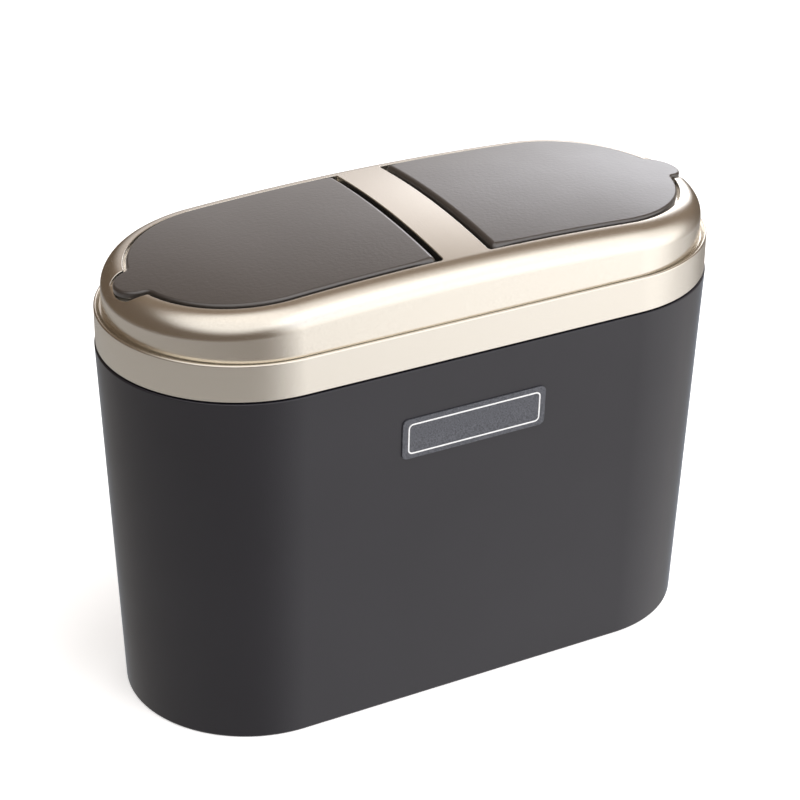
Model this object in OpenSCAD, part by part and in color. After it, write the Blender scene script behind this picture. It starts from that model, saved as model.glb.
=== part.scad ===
// Car trash bin: a tapered stadium-shaped bucket with a bag clamping ring and a
// crowned cover, in which two flaps turn up on steel pins beside a middle bridge.
// X runs along the bin, Y across it with the front at -Y, and Z up from the base.

/* [Bin body] */
// Length of the body over its rim
body_length = 205; // [180:1:230]
// Width of the body over its rim
body_width = 89.4; // [84:0.2:100]
// Height of the body from the standing rim to the shoulder under the clamp ring
body_height = 121.3; // [100:0.1:160]
// How far the outer wall draws in from the rim to the base
body_taper = 4.5; // [2:0.1:7]
// Thickness of the body wall at the base
body_wall = 2.2; // [1.6:0.1:2.6]
// Thickness of the floor
floor_t = 2.4; // [1.6:0.1:4]
// Height of the standing rim under the floor
foot_h = 1.4; // [0.8:0.1:3]
// Width of the standing rim
foot_w = 4; // [3:0.1:8]
// Rounding of the outer bottom edge
base_edge_r = 2.6; // [1:0.1:4]
// Rounding between the inner wall and the floor
floor_edge_r = 6; // [3:0.5:10]
// Chamfer of the outer rim under the clamp ring
rim_edge = 0.4; // [0.2:0.05:0.8]

/* [Bag lip of the body] */
// Height of the lip above the shoulder of the body
lip_h = 9.7; // [6:0.1:10]
// Thickness of the lip
lip_t = 1.4; // [1:0.1:1.8]
// How far the lip stands in from the outer wall
lip_inset = 1.8; // [1.7:0.05:2.2]

/* [Clamp ring] */
// Shadow gap between the body's shoulder and the ring
ring_shadow = 0.5; // [0.3:0.05:1]
// Height of the visible band of the ring
ring_h = 12.5; // [11.5:0.1:16]
// How far the band stands in from the body's rim
ring_inset = 0.35; // [0.2:0.05:0.5]
// Thickness of the ledge that lies on the lip and carries the cover
ring_ledge_t = 1.6; // [1.2:0.1:2]
// Thickness of the inner clamping wall of the ring
ring_inner_t = 1.3; // [1:0.1:1.6]
// How far the inner clamping wall reaches down from the ledge
ring_inner_h = 4; // [2:0.1:6]
// Rounding of the ring's outer top edge
ring_edge_r = 1.2; // [0.6:0.1:1.4]
// Clearance between the lip and the ring's two walls
lip_clearance = 0.25; // [0.15:0.05:0.3]

/* [Cover] */
// How far the cover's wall stands in from the body's rim, below the shoulder
cover_inset = 2.4; // [2.2:0.05:3]
// How much longer each half of the cover's straight part is, along the crown, than the body's
cover_overrun = 0.4; // [0.2:0.05:0.6]
// Height of the crown above the ledge of the ring
cover_rise = 19.6; // [17:0.1:24]
// Radius of the crown along the bin
crown_rx = 965; // [700:5:2000]
// Radius of the crown across the bin
crown_ry = 327; // [200:1:900]
// Radius of the shoulder between crown and wall
shoulder_r = 7.4; // [6.8:0.1:8]
// Thickness of the cover's outer wall
cover_wall = 2.2; // [1.6:0.1:2.6]
// Gap between the cover and the inner edge of the clamp ring
cover_gap = 0.35; // [0.2:0.05:0.6]

/* [Flap recesses] */
// Width of the cover's rounded rim outside the recess
recess_rim = 7.1; // [6.6:0.05:8]
// Width of the middle bridge
bridge_w = 15.5; // [12:0.1:20]
// Radius of the recess corners beside the bridge
recess_corner_r = 1.2; // [0.6:0.1:2]
// Depth of the rest ledge below the crown
rest_depth = 2; // [1.9:0.1:2.6]
// Thickness of the rest ledge
rest_t = 2.4; // [2:0.1:3]
// Width of the rest ledge, from the recess edge to the mouth
rest_w = 3.7; // [2.8:0.1:5]
// Length along the bin beside the bridge that has no ledge, for the hinge
hinge_bay = 11; // [9.5:0.1:16]
// Width of the narrow ledge that is left along the sides of that stretch
bay_ledge = 0.6; // [0.4:0.05:0.7]
// Depth of the side skirts of the bridge below the crown
bridge_skirt_h = 10; // [8:0.1:14]
// Thickness of the side skirts of the bridge
bridge_skirt_t = 2.2; // [1.6:0.1:3]

/* [Flaps] */
// Thickness of the flap plate
flap_t = 2.2; // [1.8:0.1:2.2]
// How far the flap stands above the crown
flap_proud = 0.5; // [0.3:0.1:1]
// Gap between the flap and the recess edge
flap_gap = 1; // [0.7:0.1:1.4]
// Gap between the flap and the bridge
bridge_gap = 1.85; // [1.7:0.05:2.6]
// Rounding of the flap's outer top edge
flap_edge_r = 1; // [0.5:0.1:1.2]
// Chamfer of the flap's hinge edge
hinge_chamfer = 0.7; // [0.7:0.05:1]
// Radius of the flap corners beside the bridge
flap_corner_r = 1.4; // [0.8:0.1:2.5]
// Depth of the skirt under the flap
flap_skirt_h = 4; // [2:0.1:6]
// Thickness of the skirt and of the stiffening ribs
flap_skirt_t = 1.4; // [1:0.1:2]
// Clearance between the skirt and the mouth
skirt_gap = 0.8; // [0.6:0.1:1.5]
// Depth of the stiffening ribs under the flap
rib_h = 2.6; // [1:0.1:5]
// Spacing of the stiffening ribs across the flap
rib_pitch = 20; // [14:1:24]

/* [Finger tabs] */
// Radius of the finger tab
tab_r = 7.5; // [5:0.1:8]
// How far the centre of the tab lies inside the edge of the flap's end
tab_inset = 0.9; // [0.6:0.1:2]
// Thickness of the finger tab
tab_t = 1.9; // [1.5:0.1:2.1]
// How far the tab's flat top lies below the flap's crowned top
tab_sink = 0.1; // [0.08:0.01:0.3]
// Radius of the concave fillets at the root of the tab
tab_fillet_r = 2.5; // [1.5:0.1:4]
// Clearance between the tab and the finger notch in the cover
notch_gap = 1.5; // [1.1:0.1:2]
// Depth of the notch floor below the top of the crown
notch_depth = 4.9; // [4.5:0.1:5.4]

/* [Hinges] */
// Diameter of the hinge pin
pin_d = 2; // [1.6:0.1:2.2]
// Clearance between the pin and its bores, on the diameter
pin_clearance = 0.1; // [0.06:0.02:0.2]
// Depth of the pin's axis below the crown
pin_depth = 3.9; // [3.9:0.1:4.4]
// Distance from the hinge edge of the flap to the pin's axis
pin_setback = 3.9; // [3.9:0.1:5]
// Outer diameter of the flap's knuckles
knuckle_d = 4.2; // [3.8:0.1:4.4]
// Length of each knuckle
knuckle_l = 12; // [8:0.5:16]
// Depth of the pin bores into the cover, from the flap's side
lug_t = 3.6; // [2.5:0.1:3.8]
// Diameter of the thrust bosses round the pin bores
boss_d = 3.6; // [3:0.1:3.6]
// Gap between the lug and the flap
lug_gap = 0.3; // [0.2:0.05:0.6]
// Width of the snap-in slot under each lug bore
snap_slot_w = 1.7; // [1.2:0.1:1.7]

/* [Snap hooks of the cover] */
// Width of each snap hook
hook_w = 12; // [8:0.5:20]
// Thickness of the hook's leg
hook_t = 1.4; // [1:0.1:1.8]
// Distance from each outer hook to the end of the straight wall
hook_margin = 5.8; // [3:0.1:20]
// Reach of the hook's nose under the clamp ring
hook_nose = 0.8; // [0.4:0.05:0.9]
// Height of the hook's root on the cover's wall, above the ledge
hook_root_h = 7; // [4:0.5:9]

/* [Badge] */
// Width of the blank badge
badge_w = 50; // [30:0.5:70]
// Height of the badge
badge_h = 13.8; // [8:0.1:20]
// Thickness of the badge plate
badge_t = 0.5; // [0.3:0.05:1]
// Radius of the badge corners
badge_corner_r = 1.5; // [0.5:0.1:3]
// Height of the badge's centre above the base
badge_z = 97.9; // [60:0.1:105]
// Distance from the badge's edge to its border line
border_inset = 1.6; // [1:0.1:3]
// Width of the border line
border_w = 0.45; // [0.3:0.05:1]
// Height of the border line above the plate
border_t = 0.12; // [0.08:0.02:0.3]

/* [Hidden] */

$fn = 96;
// Facets of a full turn at the crown radii, of which only a few degrees are drawn
crown_fn = 1080;
// Overlap of solids that are joined, and overshoot of cuts
eps = 0.02;
past = 1;
// A length beyond the whole bin, for half spaces
huge = 400;

// Plan of the body: half length between the end arc centres, and outer half widths
end_c = (body_length - body_width) / 2;
rim_s = body_width / 2;
base_s = rim_s - body_taper;
lip_out = rim_s - lip_inset;
lip_in = lip_out - lip_t;
lip_top = body_height + lip_h;

// Clamp ring
ring_z0 = body_height + ring_shadow;
ring_z1 = ring_z0 + ring_h;
ring_out = rim_s - ring_inset;
ring_skirt_in = lip_out + lip_clearance;
ring_inner_out = lip_in - lip_clearance;
ring_inner_in = ring_inner_out - ring_inner_t;
ledge_z = lip_top + ring_ledge_t;

// Plan of the cover: half width below the shoulder, and straight half lengths along the crown
cover_half_w = rim_s - cover_inset;
cover_straight = end_c + cover_overrun;
recess_straight = end_c;

// Crown: its top, and the tilt of the axis of each end
crown_z = ledge_z + cover_rise;
end_tilt = cover_straight / crown_rx * 180 / PI;
recess_tilt = recess_straight / crown_rx * 180 / PI;

// Shoulder arc of the cover's section: its centre, and where it meets the crown
arc_s = cover_half_w - shoulder_r;
arc_h = sqrt(pow(crown_ry - shoulder_r, 2) - pow(arc_s, 2)) - crown_ry;
// The wall draws out below the shoulder by the tilt, so that the ends stand upright
section_low = -(cover_rise + past);
wall_low_s = cover_half_w + (arc_h - section_low) * tan(end_tilt);

// The cover's plan at the groove over the clamp ring
groove_h = ring_z1 - crown_z;
groove_s = cover_half_w + (arc_h - groove_h) * tan(end_tilt);
groove_x = crown_rx * sin(end_tilt) + groove_s * cos(end_tilt)
    + (groove_h + crown_rx * (1 - cos(end_tilt))) * sin(end_tilt);
groove_c = groove_x - groove_s;

// Recess, mouth and flap outlines
recess_r = cover_half_w - recess_rim;
mouth_r = recess_r - rest_w;
flap_r = recess_r - flap_gap;
skirt_r = mouth_r - skirt_gap;
tab_centre = flap_r - tab_inset;
notch_r = tab_r + notch_gap;
bridge_x = bridge_w / 2;
flap_x0 = bridge_x + bridge_gap;
bay_x1 = bridge_x + hinge_bay;

// Hinge
pin_x = flap_x0 + pin_setback;
pin_z = crown_z - pin_depth;
lug_y0 = flap_r + lug_gap;
lug_y1 = lug_y0 + lug_t;
pin_half_l = lug_y1 - lug_gap;
lug_half_w = knuckle_d / 2 + 1;
lug_low = pin_z - knuckle_d / 2 - 1;
knuckle_end = flap_r - flap_edge_r / 2;
knuckle_y = [knuckle_l / 2 - knuckle_end, 0, knuckle_end - knuckle_l / 2];
rib_x0 = bay_x1 + 1;

// Underside of the crown's solid part, and of the flap's plate, below the crown
shell_depth = rest_depth + rest_t;
plate_depth = flap_t - flap_proud;

// Snap hooks: spacing along the straight wall, outer face of the legs, noses and ends
hook_pitch = end_c - hook_margin - hook_w / 2;
hook_out = ring_inner_in - lip_clearance;
hook_nose_z = ledge_z - ring_inner_h - lip_clearance;
hook_low = hook_nose_z - 2 * hook_nose;
hook_root_z = ledge_z + hook_root_h;

// Badge: tilt of the front wall
front_tilt = atan(body_taper / body_height);
badge_s = base_s + body_taper * badge_z / body_height;

// Drop of the crown across the bin at a distance y from its middle
function crown_drop(y) = crown_ry - sqrt(pow(crown_ry, 2) - pow(y, 2));

// Drop of the crown along the bin at a distance x from its middle
function crown_drop_x(x) = crown_rx - sqrt(pow(crown_rx, 2) - pow(x, 2));

// Point at a distance along a direction, which is given as an angle from the X axis
function polar(distance, angle) = [distance * cos(angle), distance * sin(angle)];

// Stadium outline of half width s about end centres at +-c
module stadium(c, s) {
    translate([c, 0]) circle(r = s);
    translate([-c, 0]) circle(r = s);
    square([2 * c, 2 * s], center = true);
}

// Upright wall or disc that carries a half section, x out and y up, round a stadium
module round_stadium(c) {
    for (side = [0, 1]) {
        mirror([side, 0, 0])
            translate([c, 0, 0])
                rotate_extrude(angle = 180, start = -90) children();
        mirror([0, side, 0])
            rotate([90, 0, -90])
                translate([0, 0, -c])
                    linear_extrude(height = 2 * c) children();
    }
}

// Axes of one end of the crown, which lean out by the angle given
module crown_end(tilt) {
    translate([0, 0, crown_z - crown_rx])
        rotate([0, tilt, 0])
            translate([0, 0, crown_rx]) children();
}

// A half section carried round the right half of the crown, from the plane x = x0 outwards
module right_crown(tilt, x0 = 0) {
    intersection() {
        crown_end(tilt) {
            rotate_extrude(angle = 180, start = -90) children();
            translate([0, 0, -crown_rx])
                rotate([90, 0, 0])
                    rotate_extrude(angle = tilt + past, start = 90, $fn = crown_fn)
                        translate([crown_rx, 0])
                            for (side = [0, 1])
                                mirror([0, side]) mirror([1, -1]) children();
        }
        translate([x0, -huge / 2, 0]) cube([huge, huge, huge]);
    }
}

// A half section carried round the whole crown
module round_crown(tilt) {
    for (side = [0, 1])
        mirror([side, 0, 0]) right_crown(tilt) children();
}

// Half section of a slab between two depths below the crown, out to s
module crown_slab(s, top, low) {
    intersection() {
        translate([0, -crown_ry])
            difference() {
                circle(r = crown_ry + top, $fn = crown_fn);
                circle(r = crown_ry + low, $fn = crown_fn);
            }
        translate([0, -huge / 2]) square([s, huge]);
    }
}

// Half section of everything under the crown and inside the shoulder, drawn in by t
module shoulder_section(t) {
    intersection() {
        translate([0, -crown_ry]) circle(r = crown_ry - t, $fn = crown_fn);
        union() {
            translate([0, section_low])
                square([arc_s, -section_low + past]);
            translate([arc_s, arc_h]) circle(r = shoulder_r - t);
            polygon([
                [0, section_low],
                [wall_low_s - t, section_low],
                [cover_half_w - t, arc_h],
                [0, arc_h]
            ]);
        }
        translate([0, section_low]) square([huge, huge]);
    }
}

// Half section of the body: drafted wall, standing rim, rounded edges and bag lip
module body_section() {
    outer_low = base_s + body_taper * base_edge_r / body_height;
    foot_in = outer_low - base_edge_r - foot_w;
    floor_z = foot_h + floor_t;
    inner_low = base_s - body_wall;
    difference() {
        union() {
            polygon([
                [0, 0],
                [outer_low - base_edge_r, 0],
                [outer_low - base_edge_r, base_edge_r],
                [outer_low, base_edge_r],
                [rim_s - body_taper * rim_edge / body_height, body_height - rim_edge],
                [rim_s - rim_edge, body_height],
                [lip_out, body_height],
                [lip_out, lip_top],
                [0, lip_top]
            ]);
            intersection() {
                translate([outer_low - base_edge_r, base_edge_r]) circle(r = base_edge_r);
                square([huge, base_edge_r]);
            }
        }
        polygon([
            [-past, lip_top + past],
            [lip_in, lip_top + past],
            [lip_in, lip_top],
            [inner_low, floor_z + floor_edge_r],
            [inner_low - floor_edge_r, floor_z + floor_edge_r],
            [inner_low - floor_edge_r, floor_z],
            [-past, floor_z]
        ]);
        translate([inner_low - floor_edge_r, floor_z + floor_edge_r]) circle(r = floor_edge_r);
        translate([-past, -past]) square([foot_in + past, foot_h + past]);
    }
}

module bin_body() {
    color("#3f3a39")
        round_stadium(end_c) body_section();
}

// Half section of the clamp ring: band, ledge and inner clamping wall
module ring_section() {
    polygon([
        [ring_skirt_in, ring_z0],
        [ring_out, ring_z0],
        [ring_out, ring_z1 - ring_edge_r],
        [ring_out - ring_edge_r, ring_z1],
        [groove_s, ring_z1],
        [groove_s, lip_top],
        [ring_skirt_in, lip_top]
    ]);
    translate([ring_out - ring_edge_r, ring_z1 - ring_edge_r]) circle(r = ring_edge_r);
    translate([ring_inner_in, lip_top])
        square([ring_out - past - ring_inner_in, ring_ledge_t]);
    translate([ring_inner_in, ledge_z - ring_inner_h])
        square([ring_inner_t, ring_inner_h]);
}

module clamp_ring() {
    color("#c9bda6")
        difference() {
            round_stadium(end_c) ring_section();
            translate([0, 0, ledge_z])
                linear_extrude(height = ring_h) stadium(groove_c, groove_s + cover_gap);
        }
}

// Cover without its openings: a crowned shell, cut level to stand on the ring's ledge
module cover_shell() {
    difference() {
        round_crown(end_tilt) shoulder_section(0);
        translate([-huge / 2, -huge / 2, ledge_z - huge]) cube([huge, huge, huge]);
        difference() {
            round_crown(end_tilt) shoulder_section(cover_wall);
            round_crown(end_tilt) crown_slab(huge, past, -shell_depth);
        }
        bridge_hollow();
    }
}

// Hollow under the bridge, which leaves its top plate and its two side skirts
module bridge_hollow() {
    half_x = bridge_x - bridge_skirt_t;
    intersection() {
        round_crown(end_tilt) crown_slab(recess_r, -cover_wall, -2 * shell_depth);
        translate([-half_x, -huge / 2, 0]) cube([2 * half_x, huge, huge]);
    }
}

// Side skirts of the bridge, tied into the side walls at their lower ends
module bridge_skirts() {
    for (side = [0, 1])
        mirror([side, 0, 0])
            translate([bridge_x - bridge_skirt_t, 0, crown_z - bridge_skirt_h]) {
                crown_reach = arc_s + shoulder_r * cos(45);
                wall_reach = cover_half_w - cover_wall / 2;
                translate([0, -crown_reach, 0])
                    cube([bridge_skirt_t, 2 * crown_reach, bridge_skirt_h - shell_depth + past / 2]);
                translate([0, -wall_reach, 0])
                    cube([bridge_skirt_t, 2 * wall_reach, bridge_skirt_h - shoulder_r]);
            }
}

// Right recess and mouth, open down to the bin, with a bay beside the bridge for the hinge
module right_recess_cut() {
    bay_half = recess_r - bay_ledge;
    bay_top = crown_z - (rest_depth + crown_drop(bay_half)) / 2;
    bay_low = pin_z - 2 * shell_depth;
    difference() {
        right_crown(recess_tilt, bridge_x) crown_slab(recess_r, huge, -rest_depth);
        recess_corners();
    }
    right_crown(recess_tilt, bay_x1) crown_slab(mouth_r, huge, -2 * shell_depth);
    translate([bridge_x, -bay_half, bay_low])
        cube([hinge_bay + eps, 2 * bay_half, bay_top - bay_low]);
    crown_end(recess_tilt)
        translate([tab_centre, 0, -notch_depth]) cylinder(r = notch_r, h = huge);
}

// Material that rounds the two recess corners beside the bridge
module recess_corners() {
    for (side = [0, 1])
        mirror([0, side, 0])
            translate([bridge_x, recess_r, 0])
                linear_extrude(height = huge)
                    difference() {
                        translate([-past, -recess_corner_r]) square(recess_corner_r + past);
                        translate([recess_corner_r - eps, eps - recess_corner_r])
                            circle(r = recess_corner_r);
                    }
}

// Material round the two bores of the right pin: a block under the shell and a thrust boss
module right_lugs() {
    for (side = [0, 1])
        mirror([0, side, 0]) {
            translate([pin_x - lug_half_w, recess_r, lug_low])
                cube([2 * lug_half_w, lug_y1 + past - recess_r, pin_z - pin_d - lug_low]);
            translate([pin_x, recess_r + past, pin_z])
                rotate([90, 0, 0]) cylinder(d = boss_d, h = recess_r + past - lug_y0);
        }
}

// Blind bores of the right pin, each with a slot below through which the pin snaps in
module right_pin_cut() {
    bore_d = pin_d + pin_clearance;
    translate([pin_x, lug_y1, pin_z]) rotate([90, 0, 0]) cylinder(d = bore_d, h = 2 * lug_y1);
    translate([pin_x - snap_slot_w / 2, -lug_y1, lug_low - past])
        cube([snap_slot_w, 2 * lug_y1, pin_z - lug_low + past]);
}

// Snap hook on the front wall: a root on the wall, a leg and a nose under the clamp ring
module snap_hook() {
    leg_in = hook_out - hook_t;
    rotate([90, 0, 90])
        translate([0, 0, -hook_w / 2])
            linear_extrude(height = hook_w)
                mirror([1, 0])
                    polygon([
                        [leg_in, hook_low],
                        [hook_out, hook_low],
                        [hook_out + hook_nose, hook_nose_z - hook_nose],
                        [hook_out + hook_nose, hook_nose_z],
                        [hook_out, hook_nose_z],
                        [hook_out, ledge_z + lip_clearance],
                        [cover_half_w - cover_wall / 2, ledge_z + lip_clearance],
                        [cover_half_w - cover_wall / 2, hook_root_z],
                        [leg_in + hook_t / 2, hook_root_z],
                        [leg_in, hook_root_z - hook_t]
                    ]);
}

module top_cover() {
    color("#c9bda6")
        difference() {
            union() {
                difference() {
                    cover_shell();
                    for (side = [0, 1]) mirror([side, 0, 0]) right_recess_cut();
                }
                bridge_skirts();
                for (side = [0, 1]) {
                    mirror([side, 0, 0]) right_lugs();
                    for (step = [-1 : 1])
                        mirror([0, side, 0]) translate([step * hook_pitch, 0, 0]) snap_hook();
                }
            }
            for (side = [0, 1]) mirror([side, 0, 0]) right_pin_cut();
        }
}

// Half section of the flap plate, with its outer top edge rounded
module plate_section() {
    edge_s = flap_r - flap_edge_r;
    edge_ry = crown_ry + flap_proud - flap_edge_r;
    edge_h = sqrt(pow(edge_ry, 2) - pow(edge_s, 2)) - crown_ry;
    lean = asin(edge_s / edge_ry);
    difference() {
        crown_slab(flap_r, flap_proud, -plate_depth);
        translate([edge_s, edge_h])
            difference() {
                polygon([
                    [0, 0],
                    polar(2 * flap_edge_r, 90 - lean),
                    [3 * flap_edge_r, 2 * flap_edge_r],
                    [3 * flap_edge_r, 0]
                ]);
                circle(r = flap_edge_r);
            }
    }
}

// Outline of the finger tab about the centre of the recess end, filleted into the flap
module tab_outline() {
    fillet_a = flap_r + tab_fillet_r - eps;
    fillet_b = tab_r + tab_fillet_r - eps;
    spread = acos((pow(fillet_a, 2) + pow(tab_centre, 2) - pow(fillet_b, 2))
        / (2 * fillet_a * tab_centre));
    translate([tab_centre, 0]) circle(r = tab_r);
    for (side = [0, 1])
        mirror([0, side])
            difference() {
                polygon([[tab_centre, 0], polar(fillet_a, spread), polar(flap_r - past, spread)]);
                translate(polar(fillet_a, spread)) circle(r = tab_fillet_r);
            }
}

// Flat finger tab, tilted so that it runs on from the edge of the crowned flap
module finger_tab() {
    lean = asin(tab_centre / crown_ry);
    crown_end(recess_tilt)
        translate([0, 0, -crown_ry])
            rotate([0, lean, 0])
                translate([-tab_centre, 0, crown_ry + flap_proud - tab_sink - tab_t])
                    linear_extrude(height = tab_t) tab_outline();
}

// Skirt and ribs under the flap: the skirt follows the mouth, the ribs run along the flap
module flap_underside() {
    root = (flap_proud - plate_depth) / 2;
    right_crown(recess_tilt, rib_x0)
        difference() {
            crown_slab(skirt_r, root, -plate_depth - flap_skirt_h);
            translate([0, -huge / 2]) square([skirt_r - flap_skirt_t, huge]);
        }
    rib_r = skirt_r - flap_skirt_t / 2;
    for (step = [-1 : 1]) {
        y = step * rib_pitch;
        depth = plate_depth + crown_drop(y);
        translate([0, y + flap_skirt_t / 2, crown_z - crown_rx])
            rotate([90, 0, 0])
                linear_extrude(height = flap_skirt_t)
                    intersection() {
                        difference() {
                            circle(r = crown_rx + past / 2 - depth, $fn = crown_fn);
                            circle(r = crown_rx - depth - rib_h, $fn = crown_fn);
                        }
                        translate([rib_x0, 0])
                            square([recess_straight + sqrt(pow(rib_r, 2) - pow(y, 2)) - rib_x0, 2 * crown_rx]);
                    }
    }
    translate([rib_x0, 0, crown_z - crown_ry - crown_drop_x(rib_x0)])
        rotate([90, 0, 90])
            linear_extrude(height = flap_skirt_t)
                intersection() {
                    difference() {
                        circle(r = crown_ry + past / 3 - plate_depth, $fn = crown_fn);
                        circle(r = crown_ry - plate_depth - rib_h, $fn = crown_fn);
                    }
                    translate([-rib_r, 0]) square([2 * rib_r, 2 * crown_ry]);
                }
}

// Knuckles that carry the flap on its pin, tied into the plate by webs
module flap_knuckles() {
    for (y = knuckle_y)
        translate([pin_x, y + knuckle_l / 2, pin_z])
            rotate([90, 0, 0]) cylinder(d = knuckle_d, h = knuckle_l);
    translate([pin_x - knuckle_d / 2 + past / 2, 0, crown_z - crown_ry])
        rotate([90, 0, 90])
            linear_extrude(height = knuckle_d - past)
                intersection() {
                    circle(r = crown_ry + past / 4 - plate_depth, $fn = crown_fn);
                    for (y = knuckle_y)
                        translate([y - knuckle_l / 2, crown_ry - pin_depth])
                            square([knuckle_l, 2 * pin_depth]);
                }
}

// Cut that chamfers the crowned hinge edge and rounds the two corners beside the bridge
module hinge_edge_cut() {
    top_r = crown_ry + flap_proud;
    sweep = asin(recess_r / crown_ry) + past;
    translate([0, 0, crown_z - crown_ry])
        rotate([0, 90, 0])
            rotate_extrude(angle = 2 * sweep, start = 180 - sweep, $fn = crown_fn)
                polygon([
                    [top_r - hinge_chamfer - past, flap_x0 - past],
                    [top_r + past, flap_x0 - past],
                    [top_r + past, flap_x0 + hinge_chamfer + past]
                ]);
    for (side = [0, 1])
        mirror([0, side, 0])
            translate([flap_x0, flap_r, 0])
                linear_extrude(height = huge)
                    difference() {
                        translate([-past, -flap_corner_r]) square(flap_corner_r + past);
                        translate([flap_corner_r, -flap_corner_r]) circle(r = flap_corner_r);
                    }
}

module right_flap() {
    difference() {
        union() {
            right_crown(recess_tilt, flap_x0) plate_section();
            finger_tab();
            flap_underside();
            flap_knuckles();
        }
        hinge_edge_cut();
        translate([pin_x, flap_r + past, pin_z])
            rotate([90, 0, 0]) cylinder(d = pin_d + pin_clearance, h = 2 * (flap_r + past));
    }
}

module flap_left() {
    color("#5d5654") mirror([1, 0, 0]) right_flap();
}

module flap_right() {
    color("#5d5654") right_flap();
}

module hinge_pin(x) {
    color("#b4b4b4")
        translate([x, pin_half_l, pin_z]) rotate([90, 0, 0]) cylinder(d = pin_d, h = 2 * pin_half_l);
}

module hinge_pin_left() {
    hinge_pin(-pin_x);
}

module hinge_pin_right() {
    hinge_pin(pin_x);
}

// Rectangle with rounded corners about its middle
module rounded_rect(w, h, r) {
    square([w - 2 * r, h], center = true);
    square([w, h - 2 * r], center = true);
    for (x = [-1, 1], y = [-1, 1])
        translate([x * (w / 2 - r), y * (h / 2 - r)]) circle(r = r);
}

// Blank badge with a thin raised border, laid on the drafted front wall
module badge_plate() {
    line_w = badge_w - 2 * border_inset;
    line_h = badge_h - 2 * border_inset;
    color("#6d6d70")
        translate([0, -badge_s, badge_z])
            rotate([90 + front_tilt, 0, 0]) {
                linear_extrude(height = badge_t) rounded_rect(badge_w, badge_h, badge_corner_r);
                linear_extrude(height = badge_t + border_t)
                    difference() {
                        rounded_rect(line_w, line_h, badge_corner_r);
                        rounded_rect(line_w - 2 * border_w, line_h - 2 * border_w,
                            badge_corner_r - border_w);
                    }
            }
}

bin_body();
clamp_ring();
top_cover();
flap_left();
flap_right();
hinge_pin_left();
hinge_pin_right();
badge_plate();
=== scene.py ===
"""Looks of a car trash bin: moulded shells with rounded edges, finishes, a soft studio and the camera."""
import math

import bpy
import numpy as np
from mathutils import Matrix, Vector
from mathutils.geometry import delaunay_2d_cdt


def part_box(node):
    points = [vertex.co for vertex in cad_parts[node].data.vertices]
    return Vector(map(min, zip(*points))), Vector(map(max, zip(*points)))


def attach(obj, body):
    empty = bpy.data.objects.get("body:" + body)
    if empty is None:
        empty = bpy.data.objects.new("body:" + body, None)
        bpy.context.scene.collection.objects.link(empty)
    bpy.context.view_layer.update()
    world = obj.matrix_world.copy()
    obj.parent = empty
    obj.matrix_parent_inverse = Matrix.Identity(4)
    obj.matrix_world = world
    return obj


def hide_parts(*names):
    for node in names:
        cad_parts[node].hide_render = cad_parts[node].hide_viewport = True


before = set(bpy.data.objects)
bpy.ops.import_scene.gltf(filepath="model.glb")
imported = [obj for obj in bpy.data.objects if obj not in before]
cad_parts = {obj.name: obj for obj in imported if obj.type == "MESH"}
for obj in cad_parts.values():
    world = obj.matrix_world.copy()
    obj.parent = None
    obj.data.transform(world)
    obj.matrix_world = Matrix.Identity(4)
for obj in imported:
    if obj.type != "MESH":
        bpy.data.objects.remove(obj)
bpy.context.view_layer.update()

MM = 0.001

# Shares and lengths below the first count as nothing, and lines that would coincide are a hair apart
TINY = 1e-6
HAIR = 1e-3

# Camera of the photograph: angles in degrees, lengths in millimetres, focal length in pixels
CAMERA_AZIMUTH = -28.599
CAMERA_ELEVATION = 28.69
CAMERA_ROLL = 0.543
CAMERA_DISTANCE = 786.83
CAMERA_TARGET = (-2.944, 0.0, 84.703)
FOCAL_PIXELS = 2456.53
IMAGE_PIXELS = 800
SENSOR_WIDTH = 36.0


def node_box(name):
    """Lowest and highest corners of a node, in millimetres."""
    return [np.array(corner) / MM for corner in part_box(name)]


# Body, in millimetres as all sizes below: anchor of its end arcs, half widths, levels and walls
ring_low, ring_high = node_box("clamp_ring")
RING_S = ring_high[1]
END_C = ring_high[0] - RING_S
RIM_STEP = 0.35
RIM_S = RING_S + RIM_STEP
BODY_TAPER = 4.5
BODY_WALL = 2.2
BASE_S = RIM_S - BODY_TAPER
BASE_EDGE_R = 0.9
RIM_EDGE_R = 0.45
FLOOR_EDGE_R = 6.0
FLOOR_LOW = 1.4
FLOOR_TOP = 3.8
FOOT_W = 4.0
FOOT_EDGE_R = 0.5
UNDERSIDE_BAND = 8.0
FLOOR_BAND = 12.0
LIP_H = 9.7
LIP_STEP = 1.8
LIP_WALL = 1.4
LIP_OUT = RIM_S - LIP_STEP
LIP_IN = LIP_OUT - LIP_WALL
LIP_TOP = node_box("bin_body")[1][2]
BODY_HEIGHT = LIP_TOP - LIP_H

# Clamp ring: levels, walls, clearances and edges
RING_LOW, RING_TOP = ring_low[2], ring_high[2]
RING_LEDGE_T = 1.6
RING_FIT = 0.25
RING_INNER_WALL = 1.3
RING_INNER_H = 4.0
LEDGE_Z = LIP_TOP + RING_LEDGE_T
RING_SKIRT_IN = LIP_OUT + RING_FIT
RING_INNER_OUT = LIP_IN - RING_FIT
RING_INNER_IN = RING_INNER_OUT - RING_INNER_WALL
RING_INNER_LOW = LEDGE_Z - RING_INNER_H
RING_EDGE_R = 0.5
RING_GROOVE_R = 0.25
RING_GROOVE_D = 0.9
FINE_EDGE_R = 0.25

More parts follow.
